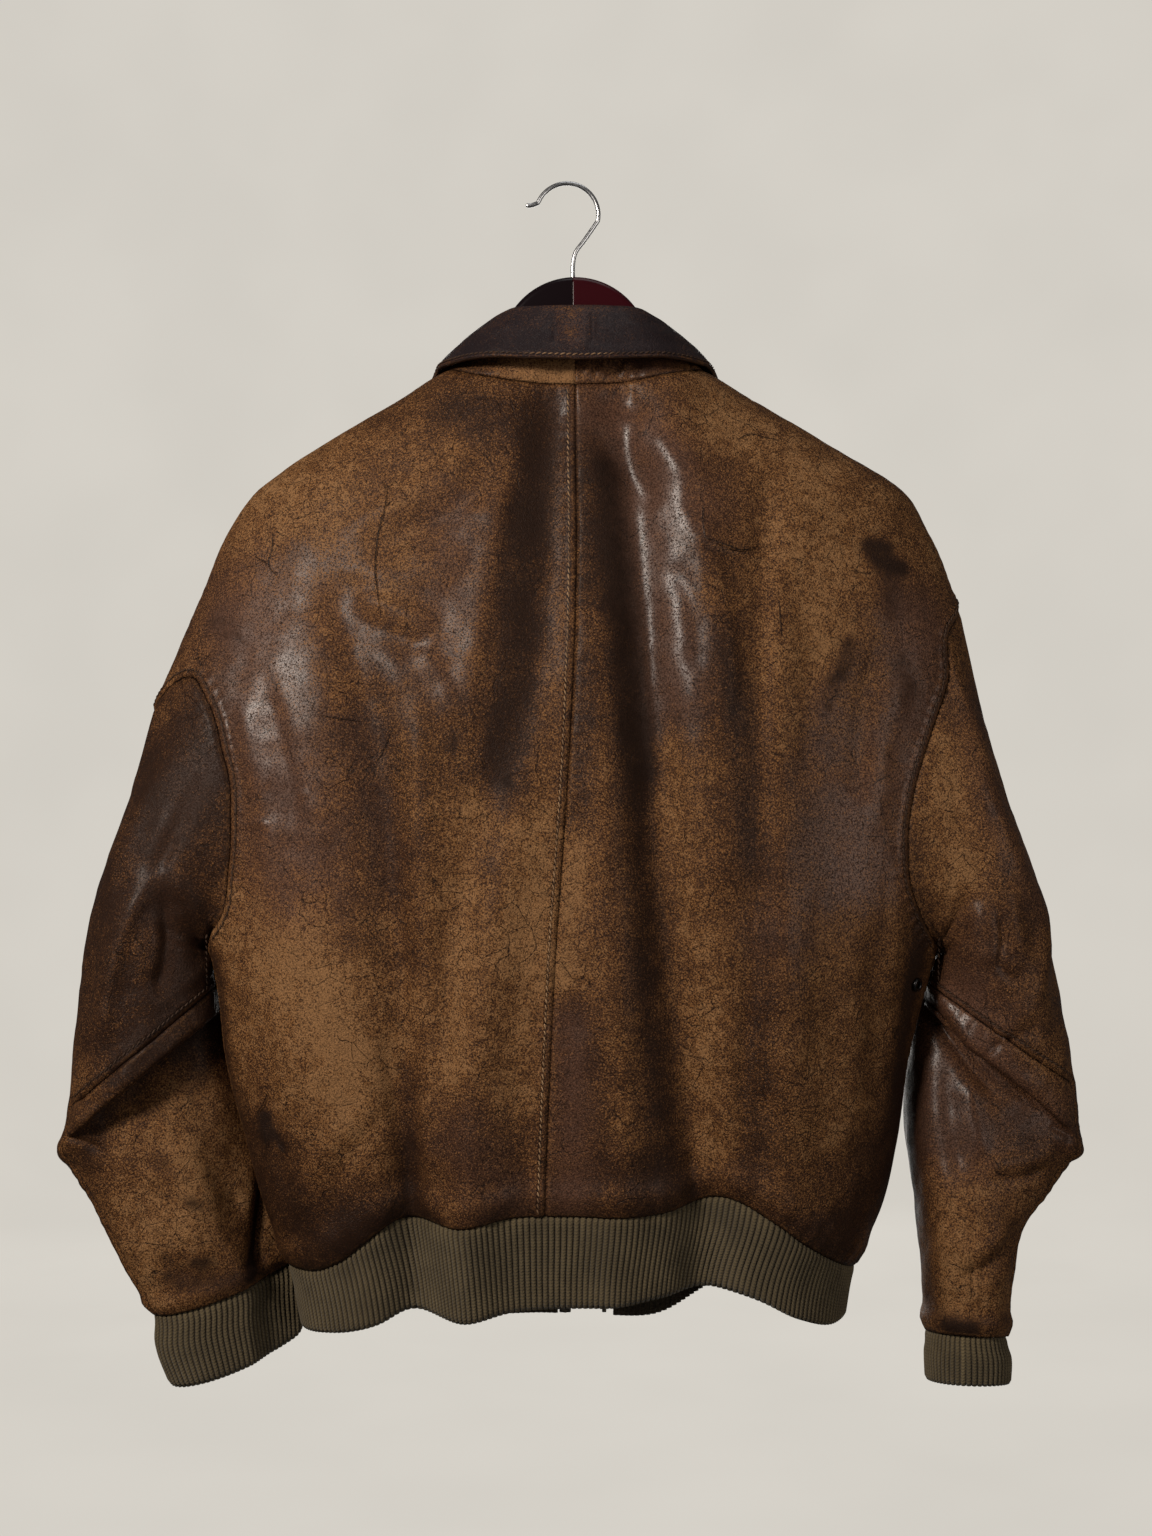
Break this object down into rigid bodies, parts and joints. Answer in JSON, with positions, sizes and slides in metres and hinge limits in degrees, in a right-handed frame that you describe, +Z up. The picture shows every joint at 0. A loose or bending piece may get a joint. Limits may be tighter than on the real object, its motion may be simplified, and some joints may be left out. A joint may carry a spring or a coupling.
{
  "type": "worn leather jacket on a wooden hanger",
  "caption": "Worn brown leather flight-style jacket with knitted waistband and cuffs, hung unzipped on a wooden hanger with a wire hook.",
  "frame": {"origin": "the inner top of the hanger's hook, where it rests on a rail or a nail", "axes": "+Z up, -Y out of the jacket's back, +Y out of its front, +X to the right of somebody who looks at its back"},
  "size_m": [0.689, 0.1496, 0.8129],
  "materials": {
    "leather": "worn tan brown, creased",
    "sleeve_leather": "dark brown, half gloss",
    "collar_leather": "near black, half gloss",
    "knit": "ribbed wool knit, matt",
    "wood": "dark red mahogany varnish",
    "steel": "bright wire",
    "zip_metal": "blackened metal"
  },
  "bodies": {
    "jacket": {"back_left": "leather", "back_right": "leather", "front_left": "leather", "front_right": "leather", "sleeve_left_top": "sleeve_leather", "sleeve_left_under": "leather", "sleeve_right_top": "sleeve_leather", "sleeve_right_under": "leather", "cuff_left": "knit", "cuff_right": "knit", "waistband": "knit", "collar": "collar_leather", "collar_stand_left": "leather", "collar_stand_right": "leather", "zip_left": "zip_metal", "zip_right": "zip_metal", "zip_slider": "zip_metal", "zip_box": "zip_metal", "zip_pin": "zip_metal", "eyelet_right": "zip_metal", "hanger_wood": "wood", "hanger_hook": "steel"},
    "pull": {"zip_pull": "zip_metal"}
  },
  "joints": [
    {"name": "pull_hinge", "type": "hinge", "parent": "jacket", "child": "pull", "pos_m": [-0.00201, 0.03431, -0.7573], "axis": [1, 0, 0], "range_deg": [0, 160]}
  ]
}
